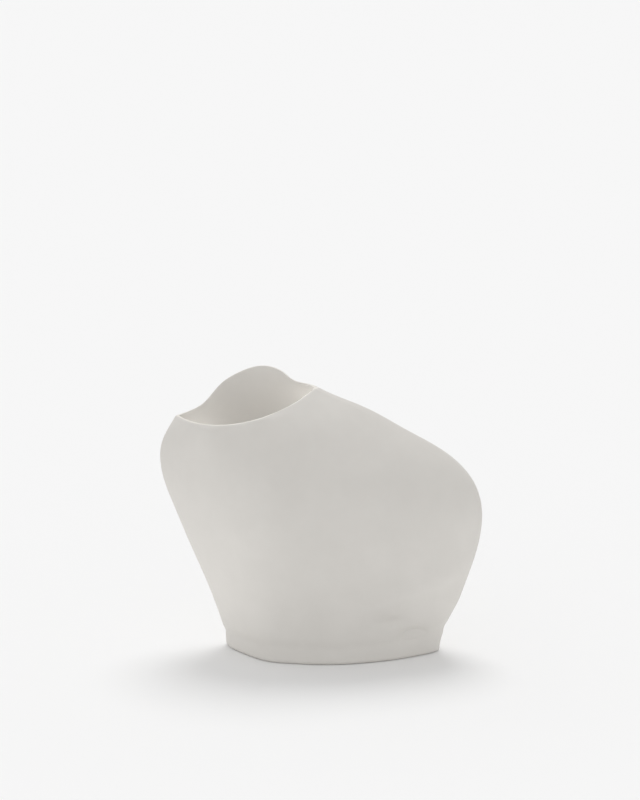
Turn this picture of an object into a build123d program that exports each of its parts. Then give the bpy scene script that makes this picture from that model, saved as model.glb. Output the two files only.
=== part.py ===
from build123d import *

import os
from math import sqrt

# Pillow vase, slab-built in porcelain. Two bowed panels meet along their side seams and stand round a
# floor slab, like a cushion set on end, and a wavy cut takes the upper left corner off for the mouth.
# A coil of clay fills each inside corner where two slabs are luted together.
#
# Millimetres, +Z up. +X is right as seen from the front, and the front panel bows towards -Y. The
# origin is on the floor, in the plane of the side seams, midway between the two ends of the foot.

# Seam outline, seen from the front
foot_width = 152.0
foot_height = 12.0
foot_flare = 1.7
left_reach = 121.4
left_belly_height = 135.0
right_reach = 102.1
right_belly_height = 93.0
mouth_left_reach = 109.8
mouth_left_height = 164.4
mouth_right_reach = 11.3
mouth_right_height = 186.1

# Depth of each panel's crown, measured from the seam plane
foot_front_depth = 39.8
foot_rear_depth = 36.0
front_bulge = 53.0
rear_bulge = 50.0
mouth_front_depth = 30.0
mouth_rear_depth = 29.0

# Slabs
wall = 3.5
seam_wall = 5.0
seam_round = 4.0
floor_thickness = 5.0
foot_round = 1.2

# Lips
front_lip_dip = 9.4
rear_lip_rise = 19.2
lip_round = 1.4

# Form above each corner of the mouth, which the lips are cut from
left_tip_lean = 15.7
left_tip_rise = 37.0
right_tip_lean = 22.0
right_tip_rise = 29.0

# Coils in the inside corners
seam_coil = 5.0
floor_coil = 5.0

# How far a cutter runs past what it cuts
overrun = 30.0

# Seam places between the named ones, as shares of the way in x and in z
left_flank_shares = ((0.24, 0.25), (0.55, 0.51), (0.85, 0.775))
left_neck_shares = ((0.26, 0.51),)
left_tip_shares = ((0.52, 0.48), (1.0, 1.0))
right_flank_shares = ((0.38, 0.31), (0.80, 0.70))
right_shoulder_shares = ((0.058, 0.323), (0.193, 0.50), (0.406, 0.654), (0.745, 0.871))
right_tip_shares = ((0.49, 0.43), (1.0, 1.0))

# Stations of the form above the foot, as shares of each seam's length from foot to mouth, and how far
# up the coil in the seam goes
station_shares = (0.0, 0.05, 0.18, 0.32, 0.45, 0.58, 0.72, 0.86, 1.0)
seam_coil_share = 0.95

# Depth at each station, as a share of the way from foot to bulge and then from bulge to mouth
swelling_shares = (0.0, -0.02, 0.05, 0.44, 0.84, 1.0)
closing_shares = (0.08, 0.31, 0.63, 1.0, 1.2, 1.4)

# Control points of a panel's bow, as shares of the chord and of the crown's depth
front_place_shares = (0.22, 0.30, 0.60)
front_crown_shares = (0.68, 1.80, 0.91)
rear_place_shares = (0.26, 0.52, 0.84)
rear_crown_shares = (0.80, 1.52, 1.10)

# Lip lines, as shares of the mouth's chord and of the lip's dip or rise
front_lip_shares = ((0.30, 1.02), (0.72, 1.68))
rear_lip_shares = (
    (0.09, -0.03),
    (0.15, 0.04),
    (0.29, 0.65),
    (0.42, 0.92),
    (0.55, 1.0),
    (0.68, 0.83),
    (0.77, 0.49),
    (0.805, 0.29),
    (0.83, 0.21),
    (0.91, 0.105),
)


def along(start, end, shares):
    """Points at the given shares of the way from start to end, in x and in z."""
    return [
        (start[0] + (end[0] - start[0]) * across, start[1] + (end[1] - start[1]) * up)
        for across, up in shares
    ]


def ramp(start, end, shares):
    """Values at the given shares of the way from start to end."""
    return [start + (end - start) * share for share in shares]


def inset(seam, distance):
    """A seam moved square to itself by distance, to its right where that is positive."""
    moved = []
    for i, (x, z) in enumerate(seam):
        before = seam[max(i - 1, 0)]
        after = seam[min(i + 1, len(seam) - 1)]
        run = Vector(after[0] - before[0], after[1] - before[1])
        square = Vector(0, 1) if i == 0 else run.normalized()
        moved.append((x + square.Y * distance, z - square.X * distance))
    return moved


def stations(foot, line, shares):
    """Places up one seam: its foot, then shares of the line from the foot band to the mouth."""
    places = [line.wire() @ share for share in shares]
    return [foot, *[(place.X, place.Z) for place in places]]


# Each seam runs from the foot band over the belly to its corner of the mouth
left_band = (-foot_width / 2 - foot_flare, foot_height)
left_belly = (-left_reach, left_belly_height)
left_corner = (-mouth_left_reach, mouth_left_height)
with BuildLine(Plane.XZ) as left_line:
    Spline(
        left_band,
        *along(left_band, left_belly, left_flank_shares),
        left_belly,
        *along(left_belly, left_corner, left_neck_shares),
        left_corner,
    )

right_band = (foot_width / 2 + foot_flare, foot_height)
right_belly = (right_reach, right_belly_height)
right_corner = (-mouth_right_reach, mouth_right_height)
with BuildLine(Plane.XZ) as right_line:
    Spline(
        right_band,
        *along(right_band, right_belly, right_flank_shares),
        right_belly,
        *along(right_belly, right_corner, right_shoulder_shares),
        right_corner,
    )

left_foot = (-foot_width / 2, 0)
right_foot = (foot_width / 2, 0)
left_top = (left_corner[0] + left_tip_lean, left_corner[1] + left_tip_rise)
right_top = (right_corner[0] - right_tip_lean, right_corner[1] + right_tip_rise)
left_tip = along(left_corner, left_top, left_tip_shares)
right_tip = along(right_corner, right_top, right_tip_shares)
left_seam = [*stations(left_foot, left_line, station_shares), *left_tip]
right_seam = [*stations(right_foot, right_line, station_shares), *right_tip]

front_depths = [
    *ramp(foot_front_depth, front_bulge, swelling_shares),
    *ramp(front_bulge, mouth_front_depth, closing_shares),
]
rear_depths = [
    *ramp(foot_rear_depth, rear_bulge, swelling_shares),
    *ramp(rear_bulge, mouth_rear_depth, closing_shares),
]


def bow(chord, depth, place_shares, crown_shares):
    """Control points of one panel's bow along a chord, rounded to seam_round where it leaves each seam."""
    side = 1 if depth > 0 else -1
    order = len(place_shares) + 3
    first = place_shares[0] * chord
    last = (1 - place_shares[-1]) * chord
    rise = [side * sqrt(seam_round * gap * (order - 1) / order) for gap in (first, last)]
    crown = [(place * chord, share * depth) for place, share in zip(place_shares, crown_shares)]
    return [(0, 0), (0, rise[0]), *crown, (chord, rise[1]), (chord, 0)]


def lens(left, right, front, rear):
    """A closed section between two seam places, in the plane that holds both and the Y direction."""
    across = Vector(right[0] - left[0], 0, right[1] - left[1])
    plane = Plane((left[0], 0, left[1]), x_dir=across, z_dir=(-across.Z, 0, across.X))
    with BuildSketch(plane) as section:
        with BuildLine():
            Bezier(*bow(across.length, -front, front_place_shares, front_crown_shares))
            Bezier(*bow(across.length, rear, rear_place_shares, rear_crown_shares))
        make_face()
    return section.sketch


# The outer form and the hollow, both taken past the mouth
with BuildPart() as outer_form:
    loft([lens(*station) for station in zip(left_seam, right_seam, front_depths, rear_depths)])

hollow_left = inset(left_seam, seam_wall)
hollow_right = inset(right_seam, -seam_wall)
with BuildPart() as hollow_form:
    loft(
        [
            lens(left, right, front - wall, rear - wall)
            for left, right, front, rear in zip(hollow_left, hollow_right, front_depths, rear_depths)
        ]
    )


def mouth_places(shares, height):
    """Places along the mouth's chord, raised by shares of a height."""
    chord = along(left_corner, right_corner, [(across, across) for across, _ in shares])
    return [(x, z + up * height) for (x, z), (_, up) in zip(chord, shares)]


def above(curve, places):
    """The face above a lip line through the given places, from well left of the mouth to well right of it."""
    far_left = -left_reach - overrun
    top = max(left_top[1], right_top[1]) + overrun
    with BuildSketch(Plane.XZ) as face:
        with BuildLine():
            curve(left_corner, *places, right_corner)
            Polyline(
                right_corner,
                (right_reach, mouth_right_height),
                (right_reach, top),
                (far_left, top),
                (far_left, mouth_left_height),
                left_corner,
            )
        make_face()
    return face.sketch


above_front_lip = above(Bezier, mouth_places(front_lip_shares, -front_lip_dip))
above_rear_lip = above(Spline, mouth_places(rear_lip_shares, rear_lip_rise))


def soften(panel):
    """Rounds both edges of a panel's lip and the outer edge under its foot."""
    lip = panel.faces().filter_by(GeomType.EXTRUSION).edges()
    curved = [edge for edge in lip if edge in panel.faces().filter_by(GeomType.BSPLINE).edges()]
    sole = panel.faces().sort_by(Axis.Z)[0]
    fillet(curved, lip_round)
    fillet(sole.edges().sort_by(SortBy.LENGTH)[-1], foot_round)


# The two panels, each cut along its lip and softened there and under the foot
with BuildPart() as front_panel:
    add(outer_form.part)
    add(hollow_form.part, mode=Mode.SUBTRACT)
    split(bisect_by=Plane.XZ, keep=Keep.TOP)
    extrude(above_front_lip, amount=front_bulge + overrun, mode=Mode.SUBTRACT)
    soften(front_panel)

with BuildPart() as rear_panel:
    add(outer_form.part)
    add(hollow_form.part, mode=Mode.SUBTRACT)
    split(bisect_by=Plane.XZ, keep=Keep.BOTTOM)
    extrude(above_rear_lip, amount=-rear_bulge - overrun, mode=Mode.SUBTRACT)
    soften(rear_panel)

# The floor slab fills the foot between the panels
with BuildPart() as floor_slab:
    add(hollow_form.part)
    split(bisect_by=Plane.XY.offset(floor_thickness), keep=Keep.BOTTOM)


def foot_lens(height, distance):
    """A section of the hollow in the foot at a height, drawn in all round by a distance."""
    up = height / foot_height
    (left,) = along(hollow_left[0], hollow_left[1], ((up, up),))
    (right,) = along(hollow_right[0], hollow_right[1], ((up, up),))
    front, rear = [ramp(*depths[:2], (up,))[0] - wall - distance for depths in (front_depths, rear_depths)]
    return lens((left[0] + distance, height), (right[0] - distance, height), front, rear)


# The floor coil runs round the foot, and its slope drops from the wall to the slab
slope_top = floor_thickness + 2 * floor_coil
with BuildPart() as slope_form:
    loft([foot_lens(floor_thickness, floor_coil), foot_lens(slope_top, -floor_coil)])

with BuildPart() as floor_ring:
    add(hollow_form.part)
    split(bisect_by=Plane.XY.offset(floor_thickness), keep=Keep.TOP)
    split(bisect_by=Plane.XY.offset(slope_top), keep=Keep.BOTTOM)
    add(slope_form.part, mode=Mode.SUBTRACT)


def seam_ring(foot, line, inward):
    """The coil that fills the hollow's edge along one seam, from the slab to just below the mouth."""
    below_mouth = [*station_shares[:-1], seam_coil_share]
    seam = stations(foot, line, below_mouth)
    inner = inset(seam, inward)
    with BuildPart() as coil:
        add(hollow_form.part)
        with BuildSketch(Plane.XZ):
            with BuildLine():
                Spline(*seam)
                Spline(*inner)
                Line(seam[0], inner[0])
                Line(seam[-1], inner[-1])
            make_face()
        extrude(amount=front_bulge + rear_bulge, both=True, mode=Mode.INTERSECT)
        split(bisect_by=Plane.XY.offset(floor_thickness), keep=Keep.TOP)
        add(floor_ring.part, mode=Mode.SUBTRACT)
    return coil


pieces = {
    "front_panel": front_panel,
    "rear_panel": rear_panel,
    "floor_slab": floor_slab,
    "floor_coil": floor_ring,
    "left_seam_coil": seam_ring(left_foot, left_line, seam_wall + seam_coil),
    "right_seam_coil": seam_ring(right_foot, right_line, -seam_wall - seam_coil),
}
os.makedirs("parts", exist_ok=True)
for name, piece in pieces.items():
    piece.part.label = name
    export_step(piece.part, f"parts/{name}.step")
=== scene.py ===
import math

import bpy
import numpy as np
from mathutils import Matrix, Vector
from mathutils.bvhtree import BVHTree


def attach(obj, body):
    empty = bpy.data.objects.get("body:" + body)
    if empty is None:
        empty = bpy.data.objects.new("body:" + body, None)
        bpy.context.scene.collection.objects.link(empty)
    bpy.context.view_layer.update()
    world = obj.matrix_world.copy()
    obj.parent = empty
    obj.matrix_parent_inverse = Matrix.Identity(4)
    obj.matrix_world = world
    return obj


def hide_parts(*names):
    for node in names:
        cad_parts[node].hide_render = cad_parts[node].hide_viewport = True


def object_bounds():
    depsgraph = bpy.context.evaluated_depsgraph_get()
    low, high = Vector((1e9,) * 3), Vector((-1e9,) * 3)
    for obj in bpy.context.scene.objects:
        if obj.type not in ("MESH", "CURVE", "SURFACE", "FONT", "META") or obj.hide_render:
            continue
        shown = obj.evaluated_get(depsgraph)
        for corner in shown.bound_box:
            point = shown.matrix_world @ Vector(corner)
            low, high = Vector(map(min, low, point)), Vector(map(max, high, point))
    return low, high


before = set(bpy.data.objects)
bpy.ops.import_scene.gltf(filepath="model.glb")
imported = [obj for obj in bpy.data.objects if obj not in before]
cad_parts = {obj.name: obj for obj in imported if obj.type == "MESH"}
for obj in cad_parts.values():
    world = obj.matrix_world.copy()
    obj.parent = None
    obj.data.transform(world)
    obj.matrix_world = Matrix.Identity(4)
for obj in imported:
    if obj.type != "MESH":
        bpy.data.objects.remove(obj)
cad_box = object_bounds()

# Pillow vase in bisque porcelain, in metres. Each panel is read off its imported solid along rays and
# smoothed into a few waves each way, then gets the pressed foot, the dents and the soft waver of a
# vase that is built by hand.

# Cells of a panel's grid, whose rows crowd towards the foot and the lip
column_cells = 160
row_cells = 120
lip_cells = 8
# Cells over the lip that take the painted highlight
rim_cells = 4
round_cells = 4
row_crowding_share = 0.55

# Samples of a solid, and the orders of the smooth forms through them
seam_samples = 160
seam_order = 18
lip_samples = 140
skin_columns = 80
skin_rows = 70
across_waves = 16
up_order = 14
lip_pull = 3
corner_turn = 0.35

# Sizes of the panels' edges
lip_height = 0.0009
lip_lifts = {"front_panel": 0.0012, "rear_panel": 0.0}
foot_round = 0.0024
joint_round = 0.0003
steepest_lip_share = 0.4

# Lengths for the rays, a small step aside and a start well outside, and where the search for a lip starts
hair = 0.0001
far = 1.0
lip_search_share = 0.8

# Pinching of the seams round the shoulders and thinning of the walls towards the lip
pinch_turn = 0.4
pinch_share = 0.45
pinch_start = 0.35
pinch_end = 0.7
thinning_start = 0.7
lip_loss_share = 0.42
corner_loss_share = 0.45

# Groove above the foot band, deeper at both ends and higher at the right one, where the wall tucks in
groove_height = 0.0115
groove_left_rise = -0.001
groove_right_rise = 0.005
groove_width = 0.0032
groove_depth = 0.0006
groove_end_depth = 0.0008
tuck_depth = 0.0018
tuck_start_share = 0.5
tuck_height = 0.02

# Flare of the front's foot band, widest at its left
flare_height = 0.013
flare_depth = 0.002
flare_left_depth = 0.003
flare_left_place = -0.057
flare_left_reach = 0.016

# Bend up the front where the foot's flat middle turns into its round left end
bend_place = -0.041
bend_width = 0.013
bend_depth = 0.003
bend_start = 0.02
bend_end = 0.05

# Fold that climbs across the front's lower right
fold_start = (0.021, 0.037)
fold_end = (0.086, 0.062)
fold_width = 0.01
fold_depth = 0.004

# Presses of the fingers on the front: middle across and up, reach across and up, and depth
front_presses = {
    "pinch": (0.0556, 0.0165, 0.0095, 0.005, 0.003),
    "crease": (0.041, 0.029, 0.008, 0.004, 0.002),
    "shoulder": (-0.096, 0.135, 0.024, 0.026, 0.004),
}

# Soft waver of a slab that is bent by hand
waver_depth = 0.0003
waver_across = 0.085
waver_up = 0.11

# Depth over which the marks fade by the seams, and heights between which the inside takes them up
seam_calm = 0.012
inside_start = 0.03
inside_end = 0.06

# Camera, as in the photograph
camera_lens = 100.0
camera_distance = 1.522
camera_elevation = math.radians(12.0)
camera_azimuth = math.radians(5.5)
camera_target = Vector((-0.0099, 0.0, 0.177))

# Stage and light
floor_reach = 60.0
backdrop_white = 0.93
floor_white = 0.91
sky_level = 1.0
sky_lean = (-0.085, 0.0, -0.42)
key_level = 1.04
key_spread = math.radians(30.0)
key_tilt = math.radians(-25.0)

# Lamps in the hollow and cards on the floor, by place, with their watts
glow_radius = 0.008
glow_levels = {
    (-0.088, 0.0, 0.146): 0.007,
    (-0.055, 0.0, 0.115): 0.003,
    (-0.02, 0.0, 0.155): 0.019,
}
card_size = 0.1
card_levels = {(-0.137, -0.075, 0.001): 0.022, (0.145, -0.065, 0.001): 0.014}

# Porcelain
porcelain_shade = (0.668, 0.646, 0.61)
porcelain_white = (0.7, 0.678, 0.642)
# Painted highlight along the lip: paler colours for the light that the lip's top catches and lets through
rim_highlight_shade = (0.765, 0.74, 0.69)
rim_highlight_white = (0.795, 0.77, 0.72)
porcelain_gloss = 0.35
mottle_scale = 30.0
mottle_span = (0.3, 0.7)
dry_roughness = (0.52, 0.68)
grain_scale = 1500.0
grain_depth = 0.0002
grain_strength = 0.12

panel_sides = {"front_panel": -1.0, "rear_panel": 1.0}


# Reading the solids


def node_points(node):
    """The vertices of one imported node."""
    return np.array([v.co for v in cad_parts[node].data.vertices])


def node_tree(node):
    """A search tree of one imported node's faces."""
    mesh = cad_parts[node].data
    return BVHTree.FromPolygons([v.co for v in mesh.vertices], [p.vertices for p in mesh.polygons])


trees = {node: node_tree(node) for node in panel_sides}


def meet(node, start, direction):
    """Where a ray first meets a packed panel, or not-a-number where it misses."""
    found = trees[node].ray_cast(Vector(start), Vector(direction))[0]
    return np.array(found if found else (math.nan, math.nan, math.nan))


def mouth_corners():
    """The peaks of the front panel's seam faces, where the two lips meet at the left and the right."""
    points = node_points("front_panel")
    seam = points[np.abs(points[:, 1]) < hair]
    right = seam[seam[:, 2].argmax()]
    middle = (seam[:, 0].min() + right[0]) / 2
    left = seam[seam[:, 0] < middle]
    return left[left[:, 2].argmax()], right


left_corner, right_corner = mouth_corners()
corners = {-1: left_corner, 1: right_corner}
mouth_middle = (left_corner[0] + right_corner[0]) / 2
hub = np.array((0.0, 0.0, right_corner[2] / 2))


def seam_at(sign, inside, height):
    """The place on a seam at a height: left (-1) or right (1), on the wall's inside or outside."""
    start = (mouth_middle if inside else sign * far, hair, height)
    return meet("rear_panel", start, (sign if inside else -sign, 0, 0))


def turn_of(point, sign):
    """A point's angle about the hub in the seam plane, counted on past a half turn on the left."""
    turn = math.atan2(point[2] - hub[2], point[0] - hub[0])
    return turn + 2 * math.pi if sign < 0 and turn < 0 else turn


def seam_line(sign, inside):
    """A function from shares of the way up a seam to places on it, from the foot's edge to the lip's."""
    start = turn_of(seam_at(sign, inside, joint_round if inside else foot_round), sign)
    end = turn_of(seam_at(sign, inside, corners[sign][2] - lip_height), sign)
    shares = np.linspace(0, 1, seam_samples)
    radii = []
    for turn in start + (end - start) * shares:
        outward = np.array((math.cos(turn), 0.0, math.sin(turn)))
        centre = hub + (0.0, hair, 0.0)
        origin = centre if inside else centre + far * outward
        found = meet("rear_panel", origin, outward if inside else -outward)
        radii.append(np.linalg.norm(found - hub))
    radii = np.array(radii)
    known = np.isfinite(radii)
    radius = np.polynomial.Chebyshev.fit(shares[known], radii[known], seam_order, domain=(0, 1))

    def place(share):
        turn = start + (end - start) * share
        outward = np.stack((np.cos(turn), np.zeros_like(turn), np.sin(turn)), -1)
        return hub + outward * radius(share)[..., None]

    return place


seams = {(sign, inside): seam_line(sign, inside) for sign in corners for inside in (False, True)}
foot_reach = (seams[1, False](np.zeros(1))[0, 0] - seams[-1, False](np.zeros(1))[0, 0]) / 2


def lip_line(node):
    """A function from x to the height of one panel's lip, found by halving between a hit and a miss."""
    side = panel_sides[node]
    places = np.linspace(left_corner[0], right_corner[0], lip_samples + 2)[1:-1]
    heights = []
    for x in places:
        low = left_corner[2] * lip_search_share
        high = cad_box[1].z + hair
        while high - low > hair / 10:
            middle = (low + high) / 2
            if math.isnan(meet(node, (x, side * far, middle), (0, -side, 0))[0]):
                high = middle
            else:
                low = middle
        heights.append(low)
    places = np.concatenate(([left_corner[0]], places, [right_corner[0]]))
    heights = np.concatenate(([left_corner[2]], heights, [right_corner[2]]))
    return lambda x: np.interp(x, places, heights)


lips = {node: lip_line(node) for node in panel_sides}


def ease(value):
    """A smooth step from 0 to 1."""
    value = np.clip(value, 0, 1)
    return value * value * (3 - 2 * value)


def skin_places(node, inside, turns, shares):
    """Places in the seam plane under one skin, on a grid that rises from the foot to the lip."""
    left = seams[-1, inside](shares)[:, None]
    right = seams[1, inside](shares)[:, None]
    way = (0.5 - 0.5 * np.cos(turns))[None, :, None]
    top_left = seams[-1, inside](np.ones(1))
    top_right = seams[1, inside](np.ones(1))
    top = top_left + (top_right - top_left) * way[0]
    level = lips[node](top[:, 0]) - lip_height + lip_lifts[node] * np.sin(turns) ** 2
    rise = (level - top[:, 2]) * ease(np.minimum(turns, math.pi - turns) / corner_turn)
    places = left + (right - left) * way
    places[..., 2] += rise[None] * shares[:, None] ** lip_pull
    return places


def skin_waves(turns, shares):
    """Sine waves across, zero at the seams, times polynomials up, at pairs of turn and share."""
    across = np.sin(turns[:, None] * np.arange(1, across_waves + 1))
    up = np.polynomial.chebyshev.chebvander(2 * shares - 1, up_order)
    return (across[:, :, None] * up[:, None, :]).reshape(len(turns), -1)


def skin_grid(node, inside, turns, shares):
    """One skin of a panel, read off its solid at sample places and smoothed onto a finer grid."""
    side = panel_sides[node]
    sample_turns = np.linspace(0, math.pi, skin_columns + 2)[1:-1]
    sample_shares = np.linspace(0, 1, skin_rows)
    places = skin_places(node, inside, sample_turns, sample_shares).reshape(-1, 3)
    origin = 0.0 if inside else side * far
    toward = side if inside else -side
    depths = np.array([meet(node, (x, origin, z), (0, toward, 0))[1] for x, _, z in places])
    known = np.isfinite(depths)
    pairs = np.array([(turn, share) for share in sample_shares for turn in sample_turns])
    waves = skin_waves(pairs[known, 0], pairs[known, 1])
    sizes = np.linalg.lstsq(waves, depths[known], rcond=None)[0]
    grid = skin_places(node, inside, turns, shares)
    pairs = np.array([(turn, share) for share in shares for turn in turns])
    grid[..., 1] = (skin_waves(pairs[:, 0], pairs[:, 1]) @ sizes).reshape(grid.shape[:2])
    return grid


def outward_normals(grid, side):
    """Normals away from the hollow on a panel's grid, square to the seam plane's Y at both seams."""
    normals = -side * np.cross(np.gradient(grid, axis=1), np.gradient(grid, axis=0))
    normals[:, [0, -1], 1] = 0
    return normals / np.linalg.norm(normals, axis=-1, keepdims=True)


def groove(x, z):
    """Depth of the groove above the foot band and of the tuck at its right end, on both panels."""
    end = x / foot_reach
    middle = groove_height + np.where(end < 0, groove_left_rise, groove_right_rise) * end**2
    depth = groove_depth + (groove_end_depth - groove_depth) * end**4
    tuck = tuck_depth * ease((end - tuck_start_share) / (1 - tuck_start_share))
    tuck *= 1 - ease(z / tuck_height - 1)
    return depth * np.exp(-(((z - middle) / groove_width) ** 2)) + tuck


def flare(x, z):
    """How far the front's foot band spreads out towards the floor."""
    left = np.exp(-(((x - flare_left_place) / flare_left_reach) ** 2))
    depth = flare_depth + (flare_left_depth - flare_depth) * left
    return depth * np.clip(1 - z / flare_height, 0, 1) ** 2


def fold(x, z):
    """The height of the fold across the front, along a straight line with soft ends."""
    start, end = np.array(fold_start), np.array(fold_end)
    length = np.linalg.norm(end - start)
    along_x, along_z = (end - start) / length
    along = ((x - start[0]) * along_x + (z - start[1]) * along_z) / length
    across = (z - start[1]) * along_x - (x - start[0]) * along_z
    return fold_depth * np.exp(-((across / fold_width) ** 2)) * np.exp(-((2 * along - 1) ** 4))


def relief(points, side):
    """How far a skin stands out from the smooth form at each point of it."""
    x, y, z = points[..., 0], points[..., 1], points[..., 2]
    marks = waver_depth * np.sin(2 * math.pi * x / waver_across) * np.cos(2 * math.pi * z / waver_up)
    if side == panel_sides["front_panel"]:
        bend = bend_depth * np.exp(-(((x - bend_place) / bend_width) ** 2))
        marks += bend * (1 - ease((z - bend_start) / (bend_end - bend_start)))
        marks += flare(x, z) + fold(x, z)
        for middle_x, middle_z, reach_x, reach_z, depth in front_presses.values():
            away = ((x - middle_x) / reach_x) ** 2 + ((z - middle_z) / reach_z) ** 2
            marks -= depth * np.exp(-away)
    return marks * ease(np.abs(y) / seam_calm) - groove(x, z)


# The panels


def edge_sharpening(turns, shares):
    """The share of its depth that a panel loses by the seams, pinched sharp round the shoulders."""
    near = np.exp(-((turns / pinch_turn) ** 2)) + np.exp(-(((math.pi - turns) / pinch_turn) ** 2))
    return pinch_share * ease((shares - pinch_start) / (pinch_end - pinch_start))[:, None] * near[None]


def lip_thinning(turns, shares):
    """The share of its thickness that the wall loses towards the lip, most at the mouth's corners."""
    loss = lip_loss_share + (corner_loss_share - lip_loss_share) * np.cos(turns) ** 4
    return ease((shares - thinning_start) / (1 - thinning_start))[:, None] * loss[None]


def lip_rows(outer, inner):
    """Rows over a lip, along a smooth curve from the top of the outer skin to that of the inner one."""
    def reach(skin):
        up = skin[-1] - skin[-2]
        up /= np.linalg.norm(up, axis=-1, keepdims=True)
        return skin[-1] + up * (4 / 3 * lip_height / np.maximum(up[:, 2:], steepest_lip_share))

    ends = (outer[-1], reach(outer), reach(inner), inner[-1])
    rows = []
    for t in np.linspace(0, 1, lip_cells + 1)[1:-1]:
        parts = ((1 - t) ** 3, 3 * t * (1 - t) ** 2, 3 * t**2 * (1 - t), t**3)
        rows.append(sum(part * end for part, end in zip(parts, ends)))
    return rows


def edge_rows(row, away, radius):
    """Rows round a lower edge, from a skin's lowest row to the sole, drawn towards away by radius."""
    flat = away * (1, 1, 0)
    flat /= np.linalg.norm(flat, axis=-1, keepdims=True)
    steps = np.linspace(0, math.pi / 2, round_cells + 1)[1:]
    return [row + radius * (1 - math.cos(t)) * flat - row * (0, 0, math.sin(t)) for t in steps]


def panel_ring(node):
    """Rows of a panel from the sole's outer edge up, over the lip and down to its inner edge."""
    side = panel_sides[node]
    turns = np.linspace(0, math.pi, column_cells + 1)
    steps = np.linspace(0, 1, row_cells + 1)
    shares = steps - row_crowding_share * np.sin(2 * math.pi * steps) / (2 * math.pi)
    outer = skin_grid(node, False, turns, shares)
    inner = skin_grid(node, True, turns, shares)
    for skin in (outer, inner):
        skin[..., 1] *= 1 - edge_sharpening(turns, shares)
    inside = ease((inner[..., 2] - inside_start) / (inside_end - inside_start))
    inner += outward_normals(inner, side) * (relief(inner, side) * inside)[..., None]
    outer += outward_normals(outer, side) * relief(outer, side)[..., None]
    inner += (outer - inner) * lip_thinning(turns, shares)[..., None]
    foot = edge_rows(outer[0], -outward_normals(outer, side)[0], foot_round)
    joint = edge_rows(inner[0], outward_normals(inner, side)[0], joint_round)
    return np.array([*foot[::-1], *outer, *lip_rows(outer, inner), *inner[::-1], *joint])


def make_panel(node, material, rim_highlight_material):
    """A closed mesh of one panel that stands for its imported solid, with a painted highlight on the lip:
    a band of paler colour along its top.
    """
    side = panel_sides[node]
    ring = panel_ring(node)
    rows, columns = ring.shape[:2]
    numbers = np.arange(rows * columns).reshape(rows, columns)
    around = np.roll(numbers, -1, axis=0)
    skin = np.stack((numbers[:, :-1], numbers[:, 1:], around[:, 1:], around[:, :-1]), -1).reshape(-1, 4)
    half = np.arange(rows // 2 - 1)
    left, right = [
        np.stack([numbers[row, end] for row in (half, half + 1, -2 - half, -1 - half)], -1)
        for end in (0, -1)
    ]
    faces = np.concatenate((skin, left, right[:, ::-1]))
    if side > 0:
        faces = faces[:, ::-1]

    mesh = bpy.data.meshes.new(node + "_skin")
    mesh.from_pydata(ring.reshape(-1, 3).tolist(), [], faces.tolist())
    mesh.update()
    normals = outward_normals(ring, side).reshape(-1, 3)
    corner_normals = normals[faces.reshape(-1)]
    seam_corners = np.arange(len(corner_normals)) >= 4 * len(skin)
    corner_normals[seam_corners] = (0, -side, 0)
    mesh.shade_smooth()
    mesh.normals_split_custom_set(corner_normals.tolist())
    mesh.materials.append(material)
    # Painted highlight: the middle cells over each lip take the paler colours
    mesh.materials.append(rim_highlight_material)
    rim_start = round_cells + row_cells + (lip_cells - rim_cells) // 2
    for polygon in mesh.polygons[rim_start * (columns - 1) : (rim_start + rim_cells) * (columns - 1)]:
        polygon.material_index = 1
    panel = bpy.data.objects.new(node + "_skin", mesh)
    bpy.context.collection.objects.link(panel)
    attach(panel, "root")
    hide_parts(node)


# Material


def porcelain_material(name, shade, white):
    """Unglazed porcelain: warm white with a faint mottle, a dry sheen and a fine fired grain."""
    material = bpy.data.materials.new(name)
    material.use_nodes = True
    nodes, links = material.node_tree.nodes, material.node_tree.links
    shader = nodes["Principled BSDF"]
    shader.inputs["Specular IOR Level"].default_value = porcelain_gloss
    place = nodes.new("ShaderNodeTexCoord")

    def noise(scale, detail, roughness):
        texture = nodes.new("ShaderNodeTexNoise")
        texture.inputs["Scale"].default_value = scale
        texture.inputs["Detail"].default_value = detail
        texture.inputs["Roughness"].default_value = roughness
        links.new(place.outputs["Object"], texture.inputs["Vector"])
        return texture

    mottle = noise(mottle_scale, detail=4.0, roughness=0.6)
    tint = nodes.new("ShaderNodeValToRGB")
    tint.color_ramp.elements[0].position = mottle_span[0]
    tint.color_ramp.elements[0].color = (*shade, 1.0)
    tint.color_ramp.elements[1].position = mottle_span[1]
    tint.color_ramp.elements[1].color = (*white, 1.0)
    links.new(mottle.outputs["Fac"], tint.inputs["Fac"])
    links.new(tint.outputs["Color"], shader.inputs["Base Color"])

    dryness = nodes.new("ShaderNodeMapRange")
    dryness.inputs["To Min"].default_value = dry_roughness[0]
    dryness.inputs["To Max"].default_value = dry_roughness[1]
    links.new(mottle.outputs["Fac"], dryness.inputs["Value"])
    links.new(dryness.outputs["Result"], shader.inputs["Roughness"])

    grain = noise(grain_scale, detail=3.0, roughness=0.55)
    bump = nodes.new("ShaderNodeBump")
    bump.inputs["Strength"].default_value = grain_strength
    bump.inputs["Distance"].default_value = grain_depth
    links.new(grain.outputs["Fac"], bump.inputs["Height"])
    links.new(bump.outputs["Normal"], shader.inputs["Normal"])
    return material


# Stage, light and camera


def make_floor():
    """A pale sweep that fills the view and takes the vase's shadow."""
    material = bpy.data.materials.new("pale_sweep")
    material.use_nodes = True
    shader = material.node_tree.nodes["Principled BSDF"]
    shader.inputs["Base Color"].default_value = (floor_white, floor_white, floor_white, 1.0)
    shader.inputs["Roughness"].default_value = 1.0
    shader.inputs["Specular IOR Level"].default_value = 0.0
    mesh = bpy.data.meshes.new("sweep")
    ends = ((-1, -1), (1, -1), (1, 1), (-1, 1))
    mesh.from_pydata([(x * floor_reach, y * floor_reach, 0) for x, y in ends], [], [range(4)])
    mesh.materials.append(material)
    floor = bpy.data.objects.new("sweep", mesh)
    bpy.context.collection.objects.link(floor)


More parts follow.
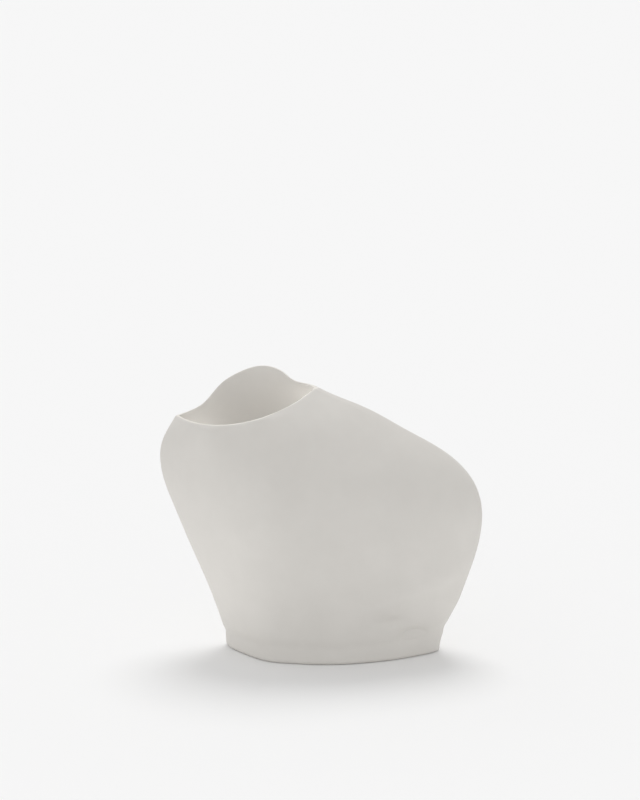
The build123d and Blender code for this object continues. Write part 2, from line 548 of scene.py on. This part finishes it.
def make_sky():
    """Soft light from all round, stronger low down and from the left, before a plain pale backdrop."""
    world = bpy.data.worlds.new("studio")
    bpy.context.scene.world = world
    world.use_nodes = True
    nodes, links = world.node_tree.nodes, world.node_tree.links
    backdrop = nodes["Background"]
    backdrop.inputs["Color"].default_value = (backdrop_white, backdrop_white, backdrop_white, 1.0)
    light = nodes.new("ShaderNodeBackground")
    light.inputs["Color"].default_value = (1.0, 1.0, 1.0, 1.0)
    place = nodes.new("ShaderNodeTexCoord")
    lean = nodes.new("ShaderNodeVectorMath")
    lean.operation = "DOT_PRODUCT"
    lean.inputs[1].default_value = sky_lean
    level = nodes.new("ShaderNodeMath")
    level.operation = "ADD"
    level.inputs[1].default_value = sky_level
    links.new(place.outputs["Generated"], lean.inputs[0])
    links.new(lean.outputs["Value"], level.inputs[0])
    links.new(level.outputs["Value"], light.inputs["Strength"])
    path = nodes.new("ShaderNodeLightPath")
    seen = path.outputs["Is Camera Ray"]
    for ray in ("Is Glossy Ray", "Is Transmission Ray"):
        either = nodes.new("ShaderNodeMath")
        either.operation = "MAXIMUM"
        links.new(seen, either.inputs[0])
        links.new(path.outputs[ray], either.inputs[1])
        seen = either.outputs["Value"]
    mix = nodes.new("ShaderNodeMixShader")
    links.new(seen, mix.inputs["Fac"])
    links.new(light.outputs["Background"], mix.inputs[1])
    links.new(backdrop.outputs["Background"], mix.inputs[2])
    links.new(mix.outputs["Shader"], nodes["World Output"].inputs["Surface"])


def make_key():
    """A wide overhead light from behind, which throws the soft shadow to the front."""
    light = bpy.data.lights.new("overhead", "SUN")
    light.energy = key_level
    light.angle = key_spread
    lamp = bpy.data.objects.new("overhead", light)
    lamp.rotation_euler = (key_tilt, 0.0, 0.0)
    bpy.context.collection.objects.link(lamp)


def make_glow():
    """Faint lamps in the hollow, for the daylight that thin porcelain lets through."""
    for place, level in glow_levels.items():
        light = bpy.data.lights.new("glow", "POINT")
        light.energy = level
        light.shadow_soft_size = glow_radius
        lamp = bpy.data.objects.new("glow", light)
        lamp.location = place
        bpy.context.collection.objects.link(lamp)


def make_cards():
    """Cards that lie on the floor at both sides and throw light up at the low flanks."""
    for place, level in card_levels.items():
        light = bpy.data.lights.new("card", "AREA")
        light.energy = level
        light.size = card_size
        lamp = bpy.data.objects.new("card", light)
        lamp.location = place
        lamp.rotation_euler = (math.pi, 0.0, 0.0)
        lamp.visible_camera = False
        bpy.context.collection.objects.link(lamp)


def make_camera():
    """The photograph's viewpoint."""
    camera = bpy.data.objects.new("camera", bpy.data.cameras.new("camera"))
    camera.data.lens = camera_lens
    away = Vector((
        math.sin(camera_azimuth) * math.cos(camera_elevation),
        -math.cos(camera_azimuth) * math.cos(camera_elevation),
        math.sin(camera_elevation),
    ))
    camera.location = camera_target + away * camera_distance
    camera.rotation_euler = (-away).to_track_quat("-Z", "Y").to_euler()
    bpy.context.collection.objects.link(camera)
    bpy.context.scene.camera = camera


# The scene

porcelain = porcelain_material("bisque_porcelain", porcelain_shade, porcelain_white)
# Painted highlight for the lips: the same porcelain in paler colours
rim_highlight = porcelain_material("painted_rim_highlight", rim_highlight_shade, rim_highlight_white)
for node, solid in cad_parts.items():
    if node in panel_sides:
        make_panel(node, porcelain, rim_highlight)
    else:
        for place in solid.material_slots:
            place.material = porcelain
make_floor()
make_sky()
make_key()
make_glow()
make_cards()
make_camera()
bpy.context.scene.view_settings.view_transform = "Standard"
